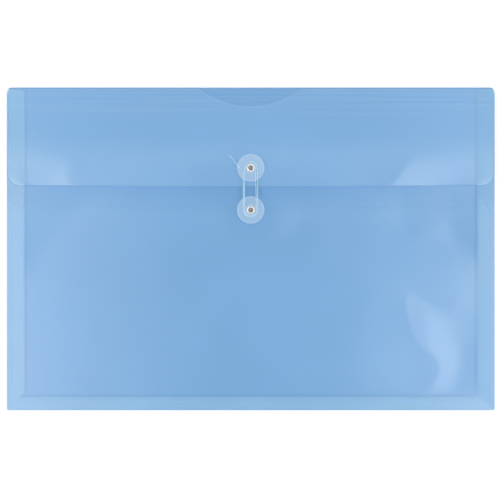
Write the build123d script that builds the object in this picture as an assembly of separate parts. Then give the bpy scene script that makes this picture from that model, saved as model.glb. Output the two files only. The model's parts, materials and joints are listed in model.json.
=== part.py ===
from build123d import *
import math
import os

# String tie envelope of clear blue plastic film, lying on its back with the flap tied shut.
# X runs across the width, Y up to the flap fold and Z out of the front.
# The origin is under the middle of the envelope, on the surface that it lies on.
# All sizes are in millimetres and degrees.

# Sheets
envelope_width = 368.3
envelope_height = 243.5
film = 0.25
pocket_gap = 6.2
top_corner_radius = 3.4
bottom_corner_radius = 0.8
edge_clearance = 0.3
crease_clearance = 0.1

# Flap and fold
flap_depth = 74.35
flap_bow = 0.9
flap_taper = 1.5
flap_corner_radius = 8.5
fold_lap = 0.2
fold_lap_clearance = 0.2
fold_split_share = 0.5

# Thumb notch in the front panel
notch_width = 79.0
notch_depth = 13.2

# Pleated gussets, each a back leaf and a front leaf that meet inside the pocket
side_leaf_width = 13.0
bottom_leaf_width = 10.7
leaf_inset = 0.4
leaf_seat = 0.25
pleat_clearance = 0.45
mitre_clearance = 0.4

# Buttons
button_radius = 10.3
button_thickness = 0.9
button_inset = 13.75
button_spacing = 31.7
rim_width = 0.8
rim_height = 0.15
ring_radius = 7.6
ring_width = 0.5
ring_depth = 0.12
hub_radius = 2.9
hub_height = 1.9

# Eyelets and their washers
barrel_radius = 2.2
bore_radius = 1.8
flange_radius = 3.1
flange_thickness = 0.5
flange_fillet = 0.22
clinch_radius = 3.0
clinch_height = 0.35
clinch_fillet = 0.15
web_depth = 1.9
web_thickness = 0.2
washer_radius = 4.5
washer_thickness = 0.3
running_clearance = 0.05
rivet_clearance = 0.2

# Tie string
string_diameter = 0.8
string_gap = 0.5
string_room = 0.4
string_hub_clearance = 0.1
string_lean_share = 0.88
string_end_length = 1.0
tail_drop = 3.4
tail_angle = 38.4
tail_turn_radius = 6.0
tail_length = 15.9
tail_bead_radius = 0.62
gap_step = 0.25

# Levels of the sheets
front_underside = film + pocket_gap
front_face = front_underside + film
flap_underside = front_face + washer_thickness + clinch_height + rivet_clearance
flap_face = flap_underside + film
pocket_middle = film + pocket_gap / 2

# Places along Y
top_edge = envelope_height / 2
bottom_edge = -envelope_height / 2
upper_strip_inside = top_edge - film
lower_strip_inside = upper_strip_inside - fold_lap_clearance - film
panel_top = lower_strip_inside - edge_clearance
flap_crease_y = upper_strip_inside + film / 2
flap_top = flap_crease_y - crease_clearance
flap_button_y = top_edge - flap_depth + button_inset
front_button_y = flap_button_y - button_spacing


def sheet(outline, underside):
    """A sheet of film with the given outline, lying at a height."""
    return Pos(0, 0, underside) * extrude(outline, amount=film)


def eyelet_hole(y):
    """The hole in a sheet that an eyelet barrel passes through."""
    return Pos(0, y) * Circle(barrel_radius + running_clearance)


def panel_outline():
    """Outline of the back and front panels: round at the fold, nearly square at the bottom."""
    height = panel_top - bottom_edge
    outline = Pos(0, (panel_top + bottom_edge) / 2) * Rectangle(envelope_width, height)
    corners = outline.vertices().sort_by(Axis.Y)
    outline = fillet(corners[2:], top_corner_radius)
    corners = outline.vertices().sort_by(Axis.Y)
    return fillet(corners[:2], bottom_corner_radius)


def back_panel():
    """The back sheet, which the envelope lies on."""
    return sheet(panel_outline(), 0)


def front_panel():
    """The front sheet, with its thumb notch and the hole for the front eyelet."""
    notch_radius = (notch_width**2 / 4 + notch_depth**2) / (2 * notch_depth)
    notch = Pos(0, panel_top - notch_depth + notch_radius) * Circle(notch_radius)
    return sheet(panel_outline() - notch - eyelet_hole(front_button_y), front_underside)


def flap_panel():
    """The flap: tapered, with round lower corners and a bowed lower edge."""
    half_top = envelope_width / 2
    half_low = half_top - flap_taper
    low = top_edge - flap_depth
    low_end = low + flap_bow
    right = Line((half_top, flap_top), (half_low, low_end))
    lower = ThreePointArc((half_low, low_end), (0, low), (-half_low, low_end))
    left = Line((-half_low, low_end), (-half_top, flap_top))
    fold = Line((-half_top, flap_top), (half_top, flap_top))
    outline = make_face([right, lower, left, fold])
    corners = outline.vertices().sort_by(Axis.Y)
    outline = fillet(corners[:2], flap_corner_radius)
    corners = outline.vertices().sort_by(Axis.Y)
    outline = fillet(corners[-2:], top_corner_radius)
    return sheet(outline - eyelet_hole(flap_button_y), flap_underside)


def fold_strip(inside, low, high):
    """An upright strip of the fold along the top edge."""
    length = envelope_width - 2 * top_corner_radius
    strip = Box(length, film, high - low, align=(Align.CENTER, Align.MIN, Align.MIN))
    return Pos(0, inside, low) * strip


def fold_strip_lower():
    """The part of the fold that stands on the back panel's top edge."""
    low = film / 2 + crease_clearance
    return fold_strip(lower_strip_inside, low, flap_underside * fold_split_share)


def fold_strip_upper():
    """The part of the fold that the flap hangs from, lapped outside the lower part."""
    low = flap_underside * fold_split_share - fold_lap
    return fold_strip(upper_strip_inside, low, flap_underside - crease_clearance)


def leaf_angle(width):
    """The slope of a gusset leaf from its seat on the panel to the pleat, as the envelope lies."""
    rise = pocket_gap / 2 - leaf_seat - pleat_clearance
    return math.degrees(math.asin(rise / width))


def side_leaf_outline():
    """A side leaf, laid flat from its hinge line at zero: mitred at its foot and round at its head."""
    foot = bottom_edge + leaf_inset + mitre_clearance
    head = panel_top - edge_clearance
    low_outer = (0, foot)
    low_inner = (side_leaf_width, foot + side_leaf_width)
    high_inner = (side_leaf_width, head)
    high_outer = (0, head)
    outline = make_face(Polyline(low_outer, low_inner, high_inner, high_outer, close=True))
    corner = outline.vertices().sort_by(Axis.X)[:2].sort_by(Axis.Y)[-1]
    return fillet(corner, top_corner_radius - leaf_inset)


def bottom_leaf_outline():
    """The bottom leaf, laid flat from its hinge line at zero, with its mitred ends."""
    half_outer = envelope_width / 2 - leaf_inset - mitre_clearance
    half_inner = half_outer - bottom_leaf_width
    outer_left = (-half_outer, 0)
    outer_right = (half_outer, 0)
    inner_right = (half_inner, bottom_leaf_width)
    inner_left = (-half_inner, bottom_leaf_width)
    return make_face(Polyline(outer_left, outer_right, inner_right, inner_left, close=True))


def left_back_leaf():
    """The left gusset's back leaf, sloping up from the back panel's edge."""
    leaf = extrude(side_leaf_outline(), amount=film / 2, both=True)
    tilted = Rot(0, -leaf_angle(side_leaf_width), 0) * leaf
    return Pos(leaf_inset - envelope_width / 2, 0, film + leaf_seat) * tilted


def bottom_back_leaf():
    """The bottom gusset's back leaf, sloping up from the back panel's lower edge."""
    leaf = extrude(bottom_leaf_outline(), amount=film / 2, both=True)
    tilted = Rot(leaf_angle(bottom_leaf_width), 0, 0) * leaf
    return Pos(0, bottom_edge + leaf_inset, film + leaf_seat) * tilted


def front_leaf(back_leaf):
    """The front leaf that faces a back leaf across the middle of the pocket."""
    return mirror(back_leaf, about=Plane.XY.offset(pocket_middle))


def right_leaf(left_leaf):
    """The right gusset's leaf that matches a left one."""
    return mirror(left_leaf, about=Plane.YZ)


def upright(radius, low, high):
    """An upright round bar between two heights."""
    bar = Cylinder(radius, high - low, align=(Align.CENTER, Align.CENTER, Align.MIN))
    return Pos(0, 0, low) * bar


def button_underside(face):
    """Height of a disc's underside above the sheet that carries it."""
    return face + running_clearance + hub_height


def button(face):
    """A moulded disc with a raised rim, a shallow ring and a hub that the string winds round."""
    underside = button_underside(face)
    top = underside + button_thickness
    disc = upright(button_radius, underside, top)
    rim = upright(button_radius, top, top + rim_height)
    rim -= upright(button_radius - rim_width, top, top + rim_height)
    ring = upright(ring_radius + ring_width / 2, top - ring_depth, top)
    ring -= upright(ring_radius - ring_width / 2, top - ring_depth, top)
    hub = upright(hub_radius, face + running_clearance, underside)
    bore = upright(barrel_radius + running_clearance, face, top + rim_height)
    return disc + rim + hub - ring - bore


def eyelet(face):
    """A metal eyelet: a rounded flange over the disc, a barrel closed by a web and a clinched foot."""
    flange_low = button_underside(face) + button_thickness + running_clearance
    flange_high = flange_low + flange_thickness
    foot_high = face - film - washer_thickness
    foot_low = foot_high - clinch_height
    flange = upright(flange_radius, flange_low, flange_high) - upright(bore_radius, flange_low, flange_high)
    rims = flange.edges().filter_by(GeomType.CIRCLE).group_by(Axis.Z)[-1]
    flange = fillet(rims, flange_fillet)
    foot = upright(clinch_radius, foot_low, foot_high) - upright(bore_radius, foot_low, foot_high)
    rims = foot.edges().filter_by(GeomType.CIRCLE).group_by(Axis.Z)[0]
    foot = fillet(rims, clinch_fillet)
    barrel = upright(barrel_radius, foot_high, flange_low) - upright(bore_radius, foot_high, flange_low)
    web = upright(barrel_radius, flange_high - web_depth - web_thickness, flange_high - web_depth)
    return flange + barrel + foot + web


def backing_washer(face):
    """The washer under the sheet, held by the eyelet's foot."""
    high = face - film
    low = high - washer_thickness
    return upright(washer_radius, low, high) - upright(barrel_radius + running_clearance, low, high)


def string_plane():
    """The sloping plane that the wound string lies in, from the flap button to the front button."""
    flap_level = button_underside(flap_face) - string_room - string_diameter / 2
    front_level = front_face + string_room + string_diameter / 2
    start = Vector(0, front_button_y, front_level)
    end = Vector(0, flap_button_y, flap_level)
    along = (end - start).normalized()
    across = Vector(1, 0, 0)
    plane = Plane(origin=start, x_dir=across, z_dir=across.cross(along))
    return plane, (end - start).length


def string_columns():
    """Places across the string plane of its first end and of its four straight runs."""
    pitch = string_diameter + string_gap
    first = hub_radius + string_hub_clearance + string_diameter / 2
    right_inner = first + string_hub_clearance
    left_inner = right_inner + pitch * string_lean_share
    return -first, right_inner, -left_inner, right_inner + pitch, -left_inner - pitch


def turn(start, end, level, up):
    """A half turn round a hub between two columns of the string."""
    reach = abs(end - start) / 2
    middle = ((start + end) / 2, level + reach * up)
    return ThreePointArc((start, level), middle, (end, level))


def winding_path(top):
    """The wound string: half a turn at the flap button, then twice round both buttons."""
    end, right_inner, left_inner, right_outer, left_outer = string_columns()
    tail_tangent = tail_turn_radius * math.tan(math.radians(tail_angle / 2))
    runs = [
        Line((end, top - string_end_length), (end, top)),
        turn(end, right_inner, top, 1),
        Line((right_inner, top), (right_inner, 0)),
        turn(right_inner, left_inner, 0, -1),
        Line((left_inner, 0), (left_inner, top)),
        turn(left_inner, right_outer, top, 1),
        Line((right_outer, top), (right_outer, 0)),
        turn(right_outer, left_outer, 0, -1),
        Line((left_outer, 0), (left_outer, top - tail_drop - tail_tangent)),
    ]
    return Wire(runs)


def tail_path(start):
    """The free tail: it bends away from the winding and runs out straight over the flap."""
    tail_tangent = tail_turn_radius * math.tan(math.radians(tail_angle / 2))
    bend_centre = (start.X - tail_turn_radius, start.Y)
    bend = CenterArc(bend_centre, tail_turn_radius, 0, tail_angle)
    heading = bend % 1
    straight = Line(bend @ 1, bend @ 1 + heading * (tail_length - tail_tangent))
    return Wire([bend, straight])


def tube(path):
    """A round cord along a path."""
    section = Plane(origin=path @ 0, z_dir=path % 0) * Circle(string_diameter / 2)
    return sweep(section, path=path)


def least_gap(path):
    """The least clear distance between stretches of a cord that aren't neighbours."""
    count = math.ceil(path.length / gap_step)
    points = [path @ (i / count) for i in range(count + 1)]
    apart = math.ceil(2 * string_diameter / gap_step) + 1
    pairs = ((points[i], points[j]) for i in range(count + 1) for j in range(i + apart, count + 1))
    return min((a - b).length for a, b in pairs) - string_diameter


def string_parts():
    """The string's winding and its free tail, which ends in a small melted bead."""
    plane, top = string_plane()
    winding_line = winding_path(top)
    tail_line = tail_path(winding_line @ 1)
    winding = tube(plane * winding_line)
    tail = tube(plane * tail_line)
    for name, line, solid in (("winding", winding_line, winding), ("tail", tail_line, tail)):
        plain_volume = math.pi * string_diameter**2 / 4 * line.length
        radii = [round(e.radius, 2) for e in line.edges() if e.geom_type == GeomType.CIRCLE]
        print("string", name, "length", round(line.length, 2), "radii", radii)
        volumes = [round(solid.volume, 3), round(plain_volume, 3)]
        print("string", name, "volume, and section times length", volumes)
    print("string winding least gap to itself", round(least_gap(winding_line), 3))
    bead_place = plane.from_local_coords(tail_line @ 1)
    return winding, tail + Pos(bead_place) * Sphere(tail_bead_radius)


def all_parts():
    """Every piece of the envelope, by name."""
    left_back = left_back_leaf()
    left_front = front_leaf(left_back)
    bottom_back = bottom_back_leaf()
    winding, tail = string_parts()
    parts = {
        "back_panel": back_panel(),
        "front_panel": front_panel(),
        "flap_panel": flap_panel(),
        "fold_strip_lower": fold_strip_lower(),
        "fold_strip_upper": fold_strip_upper(),
        "left_gusset_back_leaf": left_back,
        "left_gusset_front_leaf": left_front,
        "right_gusset_back_leaf": right_leaf(left_back),
        "right_gusset_front_leaf": right_leaf(left_front),
        "bottom_gusset_back_leaf": bottom_back,
        "bottom_gusset_front_leaf": front_leaf(bottom_back),
        "string_winding": winding,
        "string_tail": tail,
    }
    fasteners = (("flap", flap_button_y, flap_face), ("front", front_button_y, front_face))
    for name, y, face in fasteners:
        place = Pos(0, y, 0)
        parts[name + "_button"] = place * button(face)
        parts[name + "_eyelet"] = place * eyelet(face)
        parts[name + "_backing_washer"] = place * backing_washer(face)
    return parts


os.makedirs("parts", exist_ok=True)
for node, shape in all_parts().items():
    export_step(shape, "parts/" + node + ".step")
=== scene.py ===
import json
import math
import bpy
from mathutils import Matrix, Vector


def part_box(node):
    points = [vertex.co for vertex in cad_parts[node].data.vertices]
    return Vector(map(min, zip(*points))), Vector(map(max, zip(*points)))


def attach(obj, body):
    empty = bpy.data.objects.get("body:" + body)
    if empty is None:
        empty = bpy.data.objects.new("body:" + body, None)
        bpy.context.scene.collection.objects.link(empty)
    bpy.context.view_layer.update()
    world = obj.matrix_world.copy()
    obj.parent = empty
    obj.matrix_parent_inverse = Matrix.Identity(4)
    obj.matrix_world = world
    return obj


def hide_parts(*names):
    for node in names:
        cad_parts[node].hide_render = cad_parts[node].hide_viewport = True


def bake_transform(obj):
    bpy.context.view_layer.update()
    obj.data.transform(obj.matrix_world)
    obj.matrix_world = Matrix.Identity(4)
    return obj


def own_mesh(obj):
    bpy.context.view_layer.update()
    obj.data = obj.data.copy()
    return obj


bl_info = {
    "name": "String Tie Envelope",
    "version": (1, 0, 0),
    "blender": (4, 5, 0),
    "location": "View3D > Sidebar > Envelope",
    "description": "Dresses a plastic document envelope: film, pleats, buttons, eyelets and tie string",
    "category": "Object",
}

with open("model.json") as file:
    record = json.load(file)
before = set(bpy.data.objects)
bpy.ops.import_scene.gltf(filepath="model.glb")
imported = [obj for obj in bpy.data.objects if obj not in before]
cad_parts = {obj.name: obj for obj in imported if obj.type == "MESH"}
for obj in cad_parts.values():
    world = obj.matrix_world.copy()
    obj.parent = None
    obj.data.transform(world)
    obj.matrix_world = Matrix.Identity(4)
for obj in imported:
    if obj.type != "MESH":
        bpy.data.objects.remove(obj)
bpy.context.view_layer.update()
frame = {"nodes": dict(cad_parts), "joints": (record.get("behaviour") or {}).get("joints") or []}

import bpy
import numpy as np
from bpy.props import FloatProperty, FloatVectorProperty, IntProperty, PointerProperty
from mathutils import Vector

mm = 0.001
front_low, front_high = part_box("front_panel")
flap_low, flap_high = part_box("flap_panel")
half_width = front_high.x
bottom_edge = front_low.y
panel_top = front_high.y
film = front_high.z - front_low.z
front_middle = (front_low.z + front_high.z) / 2
flap_middle = (flap_low.z + flap_high.z) / 2
joint_places = {j["name"]: j.get("pos_m") for j in frame["joints"]}
flap_hub_y = joint_places["flap_button_spin"][1]
front_hub_y = joint_places["front_button_spin"][1]
left_leaf_x = joint_places["left_back_pleat"][0]
bottom_leaf_y = joint_places["bottom_back_pleat"][1]
leaf_back_z = joint_places["left_back_pleat"][2]
leaf_front_z = joint_places["left_front_pleat"][2]
pocket_middle = (leaf_back_z + leaf_front_z) / 2

# Places up the envelope, from its middle, between which the look of a film changes
# Painted shadow of the flap: over this span below its edge the front film loses haze and looks darker
flap_shadow_span = (0.024, 0.047)
# Painted light: over this span under the flap the front film is painted paler, which leaves the notch darker
# as if shaded
painted_pale_span = (0.0475, 0.066)
# Over this span under the flap a side pleat is painted paler: painted light against the flap's shade
pleat_hidden = (0.040, 0.055)
scored_by_fold = (0.094, 0.112)
dull_by_fold = (0.058, 0.088)

# Painted pale colour and cover of the front film where the flap lies on it, painted light that leaves the
# notch darker as if shaded, and colour and cover of the painted highlight on its own top edge
painted_pale_blue, painted_pale_cover = (0.40, 0.77, 1.0), 0.165
# Painted highlight: a pale band along the front's cut top edge and its notch
notch_highlight_blue, notch_highlight_cover = (0.50, 0.80, 1.0), 0.40

# Surface of the film: how dull it is, how much duller beside the fold, how it mirrors, and its relief
film_rough, fold_dulling = (0.33, 0.35), 0.28
film_mirror, coat_mirror, coat_rough = 1.45, 1.26, 0.15
film_relief = 0.004 * mm
scored_white = (0.85, 0.93, 1.0)

# A pleat's cover grows between these distances from its inner fold, in millimetres
towards_seal = (1.5, 10.0)

# Parts of a noise's range that are spread over a whole mask
noise_middle, noise_wide = (0.35, 0.65), (0.3, 0.7)
whole = (0.0, 1.0)

# The two hubs: the sheet that each one is fixed to, and its place up the envelope
hubs = (("flap", flap_hub_y), ("front", front_hub_y))

# Round corners, the last rows of a sheet up to its top edge in millimetres, and eyelet holes
top_corner, flap_corner, foot_corner = 3.4 * mm, 8.5 * mm, 0.8 * mm
last_rows = (3.4, 2.6, 1.8, 1.1, 0.6, 0.25, 0.0)
eyelet_hole = 2.25 * mm

# Distance from a cut edge at which nothing of the edge shows any more
far_away = 50 * mm

# Sections of the turned pieces: radius and height in millimetres, with each height taken from a named level
disc_section = (
    ("foot", ((2.25, 0), (2.7, 0), (2.85, 0.15), (2.9, 0.4))),
    ("under", ((2.9, -0.3), (3.0, -0.1), (3.25, 0), (9.8, 0), (10.1, 0.08), (10.27, 0.25), (10.3, 0.5))),
    ("rim", ((10.27, -0.2), (10.12, -0.05), (9.9, 0), (9.65, -0.03))),
    ("face", ((9.5, 0.02), (9.3, 0), (7.95, 0), (7.82, -0.05), (7.7, -0.12), (7.5, -0.12), (7.38, -0.05),
              (7.25, 0), (4.0, 0), (2.4, 0), (2.25, -0.1))),
)
eyelet_section = (
    ("foot", ((1.8, 0.3), (2.0, 0.08), (2.4, 0), (2.75, 0.04), (2.95, 0.15), (3.0, 0.28), (2.95, 0.35),
              (2.2, 0.35))),
    ("flange", ((2.2, 0), (2.84, 0), (2.93, 0.08), (2.95, 0.18), (2.88, 0.32))),
    ("top", ((2.74, -0.08), (2.58, -0.01), (2.4, 0), (2.22, -0.02), (2.0, -0.12), (1.86, -0.28),
             (1.8, -0.5))),
)
# The cup closes the eyelet's bore; dark, it is painted shade at the bottom of the hole
cup_section = (
    ("web", ((1.78, 0.55), (1.72, 0.2), (1.45, 0.05), (0.9, 0), (0.02, 0), (0.02, -0.2), (0.9, -0.2),
             (1.55, -0.16), (1.79, 0))),
)

# Buckles of the film: outlines, in the picture, of the patches that lean towards a lamp or away from it
picture_size, picture_middle = 500, (250.75, 249.0)
lower_buckle = [
    (478, 236), (462, 240), (456, 250), (455.5, 266), (457, 285), (460, 298), (455.5, 308), (449, 311),
    (436, 307.5), (425, 301), (413, 294.5), (406.5, 296), (405.5, 306), (409.5, 326), (417, 344), (428, 352),
    (436, 358.5), (440, 368), (438, 379), (433, 384), (428, 389), (412, 394), (478, 394),
]
lower_core = [
    (424, 312), (446, 316), (470, 318), (474, 338), (466, 352), (472, 376), (456, 378), (446, 356),
    (430, 344),
]
lower_glow = [(372, 292), (412, 286), (414, 396), (366, 396), (360, 340)]
upper_slack = [(400, 176), (492, 176), (492, 262), (462, 246), (446, 224), (428, 230), (412, 238), (404, 222)]
side_slack = [(446, 172), (494, 172), (494, 262), (466, 250), (452, 226)]
broad_slack = [(330, 160), (500, 160), (500, 250), (400, 246), (350, 230)]
corner_slack = [(462, 344), (492, 344), (492, 400), (446, 400), (456, 384)]
left_slack = [(10, 176), (110, 176), (76, 208), (46, 240), (30, 268), (10, 268)]
flap_sail = [(395, 186), (412, 158), (430, 137), (452, 131), (478, 131), (478, 186)]
flap_glow = [(22, 186), (22, 128), (48, 130), (66, 146), (72, 166), (62, 186)]

# Patches of the front that lean by a share of the buckles' tilt: outline, share and softness of the edge
front_patches = (
    (lower_glow, 0.22, 8 * mm), (upper_slack, -0.45, 6 * mm), (corner_slack, -0.5, 7 * mm),
    (broad_slack, -0.4, 16 * mm), (side_slack, -0.4, 8 * mm), (left_slack, 0.4, 9 * mm),
)
flap_patches = ((flap_sail, 0.6, 2.2 * mm), (flap_glow, -0.8, 6 * mm))


def length(name, description, default):
    """A size that a user may change."""
    return FloatProperty(name=name, description=description, default=default, unit="LENGTH", precision=5)


def share(name, description, default):
    """A share from nothing to all."""
    return FloatProperty(name=name, description=description, default=default, min=0, max=1, subtype="FACTOR")


def bright(name, description, default):
    """A brightness from nothing up."""
    return FloatProperty(name=name, description=description, default=default, min=0)


def colour(name, description, default):
    """A colour that a user may change."""
    return FloatVectorProperty(
        name=name, description=description, default=default, size=3, min=0, max=1, subtype="COLOR")


class EnvelopeFilm(bpy.types.PropertyGroup):
    """Film of the panels, the flap and the pleats"""

    back_blue: colour("Back blue", "Colour of the back panel", (0.117, 0.362, 0.662))
    film_blue: colour("Film blue", "Colour of the front panel and the flap", (0.15, 0.455, 0.785))
    haze_blue: colour("Haze blue", "Colour of the left and bottom pleats", (0.334, 0.58, 0.77))
    # Painted shade: the right pleat, the same film as the others, is given a darker blue for the light on its
    # side
    right_shaded_blue: colour("Right pleat blue", "Colour of the right pleat", (0.21, 0.465, 0.695))
    # Painted highlight: a slightly paler blue along cut edges of the flap and inner side, and on the cut rim
    edge_highlight: colour("Edge light", "Colour of a cut edge of film", (0.20, 0.50, 0.82))
    fold_blue: colour("Fold blue", "Colour of the fold along the top edge", (0.27, 0.52, 0.80))
    # At a pleat's inner fold this gives a dark line, partly deeper film where it doubles over and partly
    # painted shade in the crease; it also colours the sealed edges
    crease_blue: colour("Crease blue", "Colour of a fold or a sealed edge", (0.13, 0.36, 0.66))
    outer_cover: share("Outer cover", "How much the front's outer side covers what lies under it", 0.42)
    inner_cover: share("Inner cover", "How much a sheet's inner side covers what lies under it", 0.05)
    flap_cover: share("Flap cover", "How much the flap's outer side covers what lies under it", 0.485)
    left_pleat_cover: share("Left pleat cover", "How much each side of the left pleat covers", 0.27)
    right_pleat_cover: share("Right pleat cover", "How much each side of the right pleat covers", 0.33)
    bottom_pleat_cover: share("Bottom pleat cover", "How much each side of the bottom pleat covers", 0.37)
    back_cover: share("Back cover", "How much the back panel covers what it lies on", 0.93)
    flap_lift: length("Flap lift", "How far the flap's lower corners stand up", 1.2 * mm)
    buckle_tilt: FloatProperty(
        name="Buckle tilt", description="How steeply the film's buckles lean at most",
        default=math.radians(6.0), subtype="ANGLE")


class EnvelopeFittings(bpy.types.PropertyGroup):
    """Buttons, eyelets and washers"""

    button_frost: colour("Button frost", "Colour of the frosted discs", (0.64, 0.84, 0.98))
    button_cover: share("Button cover", "How much each side of a disc covers what lies under it", 0.25)
    eyelet_metal: colour("Eyelet metal", "Colour of the plated eyelets", (1.0, 0.99, 0.95))
    # Painted shade: the dark colour of the cup at the bottom of an eyelet's hole
    hole_shade_colour: colour("Eyelet inside", "Colour of the dull metal inside an eyelet", (0.335, 0.315, 0.295))
    segments: IntProperty(
        name="Segments", description="Faces round a disc or an eyelet", default=96, min=24, max=256)


class EnvelopeString(bpy.types.PropertyGroup):
    """Tie string"""

    diameter: length("Diameter", "Thickness of the string", 0.8 * mm)
    twist: length("Twist", "Length of one turn of the strands", 2.6 * mm)
    strands: IntProperty(name="Strands", description="Strands twisted together", default=3, min=2, max=5)
    pale_blue: colour("Pale blue", "Colour of the string", (0.48, 0.77, 1.0))


class EnvelopeStage(bpy.types.PropertyGroup):
    """Camera, lamps and floor"""

    lens: FloatProperty(name="Lens", description="Focal length", default=120.0, unit="CAMERA")
    frame_width: length("Frame width", "Width that the picture shows", 0.3774)
    lamp_height: length("Lamp height", "Height of the strip lamps", 2.0)
    lamp_inside: length("Lamp inside", "Distance of a strip lamp's inner edge from the middle", 0.50)
    lamp_width: length("Lamp width", "Width of a strip lamp", 0.50)
    lamp_length: length("Lamp length", "Length of a strip lamp", 1.6)
    lamp_shift: length("Lamp shift", "How far the strip lamps stand towards the top edge", -0.3)
    lamp_light: bright("Lamp light", "Brightness of a strip lamp's face", 6.5)
    room_light: bright("Room light", "Brightness of the room", 0.26)
    floor_white: colour("Floor white", "Colour of the floor", (0.9, 0.9, 0.9))


# Node trees


def add(tree, kind, **settings):
    """A node with its settings."""
    node = tree.nodes.new("ShaderNode" + kind)
    for name, value in settings.items():
        setattr(node, name, value)
    return node


def feed(tree, socket, value):
    """Links a socket to an input, or sets the input to a number or to the three numbers of a colour."""
    if isinstance(value, bpy.types.NodeSocket):
        tree.links.new(value, socket)
    else:
        socket.default_value = (*value, 1.0) if socket.type == "RGBA" else value


def fill(tree, node, **inputs):
    """Feeds a node's inputs by name, with an underscore for each space, and gives the node back."""
    for name, value in inputs.items():
        feed(tree, node.inputs[name.replace("_", " ")], value)
    return node


def ranged(tree, value, span, to=whole):
    """A value mapped from one range to another, smoothly at both ends."""
    node = add(tree, "MapRange", interpolation_type="SMOOTHSTEP")
    fill(tree, node, Value=value, From_Min=span[0], From_Max=span[1], To_Min=to[0], To_Max=to[1])
    return node.outputs["Result"]


def mixed(tree, mask, first, second, kind="RGBA"):
    """Two colours, or two values, mixed by a mask; each is a socket or numbers."""
    node = add(tree, "Mix", data_type=kind)
    low, high, result = {"RGBA": (6, 7, 2), "FLOAT": (2, 3, 0)}[kind]
    for place, value in ((0, mask), (low, first), (high, second)):
        feed(tree, node.inputs[place], value)
    return node.outputs[result]


def combined(tree, operation, first, second):
    """Two values put together by a math node."""
    node = add(tree, "Math", operation=operation)
    feed(tree, node.inputs[0], first)
    feed(tree, node.inputs[1], second)
    return node.outputs[0]


def noise(tree, vector, scale, detail, stretch=None):
    """Noise over a surface, stretched if three factors are given."""
    if stretch:
        vector = fill(tree, add(tree, "Mapping"), Scale=stretch, Vector=vector).outputs["Vector"]
    return fill(tree, add(tree, "TexNoise"), Scale=scale, Detail=detail, Vector=vector).outputs[0]


def shade(tone, factor):
    """A colour made darker or paler."""
    return [min(1.0, c * factor) for c in tone]


def new_group(name, inputs, outputs):
    """An empty shader node group with named float sockets, apart from a vector called Vector."""
    group = bpy.data.node_groups.new(name, "ShaderNodeTree")
    for names, way in ((inputs, "INPUT"), (outputs, "OUTPUT")):
        for socket in names:
            kind = "NodeSocketVector" if socket == "Vector" else "NodeSocketFloat"
            group.interface.new_socket(socket, in_out=way, socket_type=kind)
    return group, group.nodes.new("NodeGroupInput"), group.nodes.new("NodeGroupOutput")


def film_texture():
    """Drawn film: soft clouds, fine lines along the web and a slight waviness."""
    if "film_texture" in bpy.data.node_groups:
        return bpy.data.node_groups["film_texture"]
    group, given, out = new_group("film_texture", ["Vector"], ["Cloud", "Lines", "Height"])
    vector = given.outputs["Vector"]
    cloud = noise(group, vector, scale=14.0, detail=2.0)
    lines = noise(group, vector, scale=1.0, detail=3.0, stretch=(5.0, 520.0, 5.0))
    waves = noise(group, vector, scale=1.0, detail=2.0, stretch=(40.0, 90.0, 40.0))
    fill(group, out, Cloud=ranged(group, cloud, noise_middle), Lines=ranged(group, lines, noise_middle),
         Height=waves)
    return group


def cut_edge():
    """A mask that is full at a cut edge and fades out over a width; the distance is in millimetres."""
    if "cut_edge" in bpy.data.node_groups:
        return bpy.data.node_groups["cut_edge"]
    group, given, out = new_group("cut_edge", ["Distance", "Width"], ["Mask"])
    ratio = combined(group, "DIVIDE", given.outputs["Distance"], given.outputs["Width"])
    fill(group, out, Mask=ranged(group, ratio, whole, (1.0, 0.0)))
    return group


def placed(tree, group, **inputs):
    """A node group placed in a material, with sockets or numbers for its inputs."""
    return fill(tree, add(tree, "Group", node_tree=group), **inputs).outputs


def new_material(name):
    """A material with its node tree, its shader and the piece's own coordinates."""
    made = bpy.data.materials.new(name)
    made.use_nodes = True
    tree = made.node_tree
    coordinates = add(tree, "TexCoord").outputs["Object"]
    return made, tree, tree.nodes["Principled BSDF"], coordinates


def bumped(tree, shader, height, distance):
    """A slight relief on a shader, in metres."""
    bump = fill(tree, add(tree, "Bump"), Distance=distance, Height=height)
    fill(tree, shader, Normal=bump.outputs["Normal"])


def edge_distance(tree):
    """Distance from a cut edge in millimetres, which each sheet and disc keeps for its points."""
    return add(tree, "Attribute", attribute_name="edge_mm").outputs["Fac"]


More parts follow.
